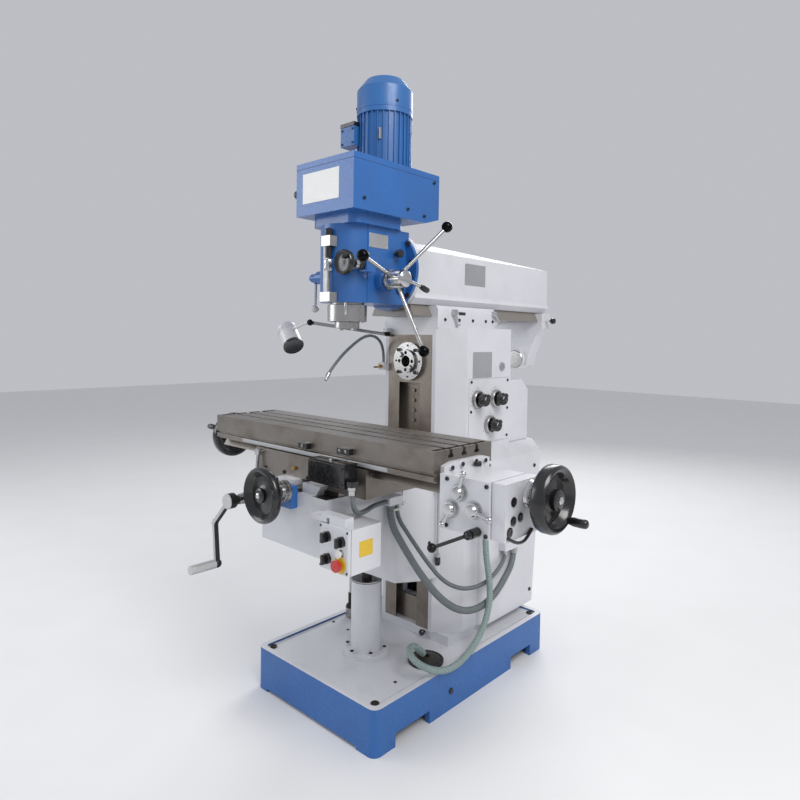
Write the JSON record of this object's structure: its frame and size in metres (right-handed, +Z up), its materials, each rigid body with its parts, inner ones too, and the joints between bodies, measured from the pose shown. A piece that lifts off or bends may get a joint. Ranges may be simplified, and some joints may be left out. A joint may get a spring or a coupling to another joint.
{
  "type": "milling machine",
  "caption": "Universal knee milling machine with tilting vertical head, ram, horizontal spindle, cross and long travel table, powered feed box and hollow cast base",
  "frame": {"origin": "centre of the four floor bolt holes at the base underside, on the floor", "axes": "+Z up, +Y from the table toward the column, +X to the operator's right along the table"},
  "size_m": [1.659, 1.698, 2.278],
  "materials": {
    "white_paint": "warm white machine enamel, semi-gloss",
    "blue_paint": "mid blue machine enamel",
    "motor_paint": "blue-grey motor enamel",
    "ground_steel": "ground way steel with a light oil film",
    "bright_steel": "bright turned and plated steel",
    "dark_steel": "dark oiled iron",
    "black_plastic": "black moulded plastic and black enamel",
    "red_plastic": "red button plastic",
    "white_plastic": "white button plastic",
    "hose_rubber": "black hose rubber",
    "grey_hose": "grey flexible conduit",
    "clear_hose": "clear greenish hose",
    "bronze": "bronze bush"
  },
  "bodies": {
    "frame": {"base_casting": "blue_paint", "screw_pedestal": "white_paint", "drain_strainer": "dark_steel", "stop_rod": "bright_steel", "column_casting": "white_paint", "column_ways": "ground_steel", "arbor_bearing_cover": "ground_steel", "motor_cover": "white_paint", "coolant_pipe": "grey_hose", "ram_guide": "white_paint", "hose_a": "hose_rubber", "hose_b": "hose_rubber", "drain_hose": "clear_hose"},
    "door": {"cabinet_door": "white_paint"},
    "arbor_drive": {"horizontal_spindle": "ground_steel"},
    "knob_1": {"speed_knob_1": "black_plastic"},
    "knob_2": {"speed_knob_2": "black_plastic"},
    "knob_3": {"speed_knob_3": "black_plastic"},
    "lamp_boom": {"lamp_arm": "black_plastic"},
    "lamp": {"lamp_head": "white_paint"},
    "knee": {"knee_casting": "white_paint", "cross_bracket": "blue_paint", "conduit": "grey_hose"},
    "lift_screw": {"elevating_screw": "dark_steel"},
    "crank": {"knee_crank": "bright_steel"},
    "pendant": {"control_box": "white_paint"},
    "start": {"start_button": "white_plastic"},
    "stop": {"stop_button": "red_plastic"},
    "switch": {"switch_knob": "black_plastic"},
    "knee_clamp": {"knee_clamp_lever": "bright_steel"},
    "cross_drive": {"cross_wheel": "bright_steel", "cross_screw": "ground_steel"},
    "saddle": {"saddle_casting": "ground_steel", "switch_box": "black_plastic"},
    "saddle_clamp": {"saddle_clamp_lever": "bright_steel"},
    "table": {"table_casting": "ground_steel", "table_brackets": "white_paint", "feed_gearbox": "white_paint"},
    "table_drive": {"table_screw": "ground_steel", "table_handwheels": "bright_steel"},
    "lever_1": {"gear_lever_1": "black_plastic"},
    "lever_2": {"gear_lever_2": "black_plastic"},
    "lever_3": {"gear_lever_3": "black_plastic"},
    "feed": {"feed_lever": "bright_steel"},
    "ram": {"ram_casting": "white_paint"},
    "ram_clamp": {"ram_clamp_lever": "bright_steel"},
    "overarm": {"arbor_support": "white_paint", "arbor_bush": "bronze"},
    "head": {"head_casting": "white_paint", "belt_cover": "blue_paint", "drive_belt": "hose_rubber", "head_motor": "motor_paint", "depth_stop": "bright_steel"},
    "motor_spin": {"motor_rotor": "dark_steel"},
    "pulley": {"spindle_pulley": "dark_steel"},
    "quill_slide": {"quill": "ground_steel"},
    "spindle": {"vertical_spindle": "ground_steel"},
    "feed_hub": {"quill_hub": "bright_steel"},
    "fine_wheel": {"fine_feed_wheel": "bright_steel"},
    "brake": {"brake_lever": "bright_steel"}
  },
  "joints": [
    {"name": "door_hinge", "type": "hinge", "parent": "frame", "child": "door", "pos_m": [-0.256, 0.491, 0.4], "axis": [0, 0, 1], "range_deg": [-100, 0]},
    {"name": "arbor_turn", "type": "hinge", "parent": "frame", "child": "arbor_drive", "pos_m": [0, 0, 1.235], "axis": [0, 1, 0], "continuous": true},
    {"name": "knob_turn_1", "type": "hinge", "parent": "frame", "child": "knob_1", "pos_m": [0.218, 0.132, 1.089], "axis": [1, 0, 0], "range_deg": [-60, 60]},
    {"name": "knob_turn_2", "type": "hinge", "parent": "frame", "child": "knob_2", "pos_m": [0.218, 0.257, 1.086], "axis": [1, 0, 0], "range_deg": [-60, 60]},
    {"name": "knob_turn_3", "type": "hinge", "parent": "frame", "child": "knob_3", "pos_m": [0.218, 0.218, 0.983], "axis": [1, 0, 0], "range_deg": [-60, 60]},
    {"name": "lamp_swing", "type": "hinge", "parent": "frame", "child": "lamp_boom", "pos_m": [-0.112, -0.038, 1.352], "axis": [0, 0, 1], "range_deg": [-40, 0]},
    {"name": "lamp_nod", "type": "hinge", "parent": "lamp_boom", "child": "lamp", "pos_m": [-0.345, -0.248, 1.383], "axis": [0, 1, 0], "range_deg": [-20, 20]},
    {"name": "knee_lift", "type": "slide", "parent": "frame", "child": "knee", "axis": [0, 0, 1], "range_m": [-0.22, 0.15], "deforming": ["hose_a", "hose_b"]},
    {"name": "crank_turn", "type": "hinge", "parent": "knee", "child": "crank", "pos_m": [-0.12, -0.72, 0.786], "axis": [0, 1, 0], "range_deg": [-31680, 21600]},
    {"name": "lift_screw_turn", "type": "hinge", "parent": "knee", "child": "lift_screw", "pos_m": [0, -0.247, 0.6], "axis": [0, 0, 1], "range_deg": [-15840, 10800]},
    {"name": "pendant_swivel", "type": "hinge", "parent": "knee", "child": "pendant", "pos_m": [0.198, -0.616, 0.77], "axis": [0, 0, 1], "range_deg": [-40, 0]},
    {"name": "start_press", "type": "slide", "parent": "pendant", "child": "start", "axis": [0, 1, 0], "range_m": [0, 0.003], "stiffness_N_per_m": 600},
    {"name": "stop_press", "type": "slide", "parent": "pendant", "child": "stop", "axis": [0, 1, 0], "range_m": [0, 0.004], "stiffness_N_per_m": 600},
    {"name": "switch_turn", "type": "hinge", "parent": "pendant", "child": "switch", "pos_m": [0.224, -0.65, 0.72], "axis": [0, 1, 0], "range_deg": [-45, 45]},
    {"name": "knee_clamp_turn", "type": "hinge", "parent": "knee", "child": "knee_clamp", "pos_m": [0.18, -0.25, 0.803], "axis": [1, 0, 0], "range_deg": [0, 60]},
    {"name": "cross_turn", "type": "hinge", "parent": "knee", "child": "cross_drive", "pos_m": [0, -0.718, 0.819], "axis": [0, 1, 0], "range_deg": [-3610, 9370]},
    {"name": "saddle_cross", "type": "slide", "parent": "knee", "child": "saddle", "axis": [0, 1, 0], "range_m": [-0.05, 0.13], "deforming": ["conduit"]},
    {"name": "saddle_clamp_turn", "type": "hinge", "parent": "saddle", "child": "saddle_clamp", "pos_m": [-0.26, -0.55, 0.903], "axis": [0, 1, 0], "range_deg": [-40, 40]},
    {"name": "table_traverse", "type": "slide", "parent": "saddle", "child": "table", "axis": [1, 0, 0], "range_m": [-0.21, 0.25]},
    {"name": "table_screw_turn", "type": "hinge", "parent": "table", "child": "table_drive", "pos_m": [0.6, -0.401, 0.907], "axis": [1, 0, 0], "range_deg": [-15120, 18000]},
    {"name": "lever_turn_1", "type": "hinge", "parent": "table", "child": "lever_1", "pos_m": [0.644, -0.53, 0.91], "axis": [0, 1, 0], "range_deg": [-20, 20]},
    {"name": "lever_turn_2", "type": "hinge", "parent": "table", "child": "lever_2", "pos_m": [0.617, -0.53, 0.861], "axis": [0, 1, 0], "range_deg": [-20, 20]},
    {"name": "lever_turn_3", "type": "hinge", "parent": "table", "child": "lever_3", "pos_m": [0.693, -0.53, 0.871], "axis": [0, 1, 0], "range_deg": [-20, 20]},
    {"name": "feed_turn", "type": "hinge", "parent": "table", "child": "feed", "pos_m": [0.705, -0.53, 0.815], "axis": [0, 1, 0], "range_deg": [-20, 20]},
    {"name": "ram_slide", "type": "slide", "parent": "frame", "child": "ram", "axis": [0, 1, 0], "range_m": [-0.2, 0.1]},
    {"name": "ram_clamp_turn", "type": "hinge", "parent": "frame", "child": "ram_clamp", "pos_m": [0.15, 0.069, 1.429], "axis": [1, 0, 0], "range_deg": [-30, 30]},
    {"name": "arbor_support_slide", "type": "slide", "parent": "ram", "child": "overarm", "axis": [0, 1, 0], "range_m": [-0.12, 0]},
    {"name": "head_tilt", "type": "hinge", "parent": "ram", "child": "head", "pos_m": [0, -0.15, 1.578], "axis": [0, -1, 0], "range_deg": [-45, 45]},
    {"name": "motor_turn", "type": "hinge", "parent": "head", "child": "motor_spin", "pos_m": [0, -0.186, 1.9], "axis": [0, 0, 1], "continuous": true},
    {"name": "pulley_turn", "type": "hinge", "parent": "head", "child": "pulley", "pos_m": [0, -0.363, 1.8], "axis": [0, 0, 1], "continuous": true},
    {"name": "hub_turn", "type": "hinge", "parent": "head", "child": "feed_hub", "pos_m": [0.16, -0.29, 1.53], "axis": [1, 0, 0], "range_deg": [0, 305]},
    {"name": "quill_feed", "type": "slide", "parent": "head", "child": "quill_slide", "axis": [0, 0, -1], "range_m": [0, 0.12]},
    {"name": "spindle_turn", "type": "hinge", "parent": "quill_slide", "child": "spindle", "pos_m": [0, -0.363, 1.5], "axis": [0, 0, 1], "continuous": true},
    {"name": "fine_feed_turn", "type": "hinge", "parent": "head", "child": "fine_wheel", "pos_m": [0.115, -0.43, 1.574], "axis": [0, 1, 0], "range_deg": [-720, 720]},
    {"name": "brake_turn", "type": "hinge", "parent": "head", "child": "brake", "pos_m": [-0.14, -0.384, 1.542], "axis": [1, 0, 0], "range_deg": [-30, 30]}
  ],
  "couplings": [
    {"joint": "knee_lift", "follows": "crank_turn", "m_per_rad": 0.00039789},
    {"joint": "lift_screw_turn", "follows": "crank_turn", "ratio": 0.5},
    {"joint": "cross_turn", "follows": "saddle_cross", "rad_per_m": 1256.6},
    {"joint": "table_traverse", "follows": "table_screw_turn", "m_per_rad": 0.00079577},
    {"joint": "quill_feed", "follows": "hub_turn", "m_per_rad": 0.022543},
    {"joint": "pulley_turn", "follows": "motor_turn", "ratio": 0.83333},
    {"joint": "spindle_turn", "follows": "motor_turn", "ratio": 0.83333}
  ]
}
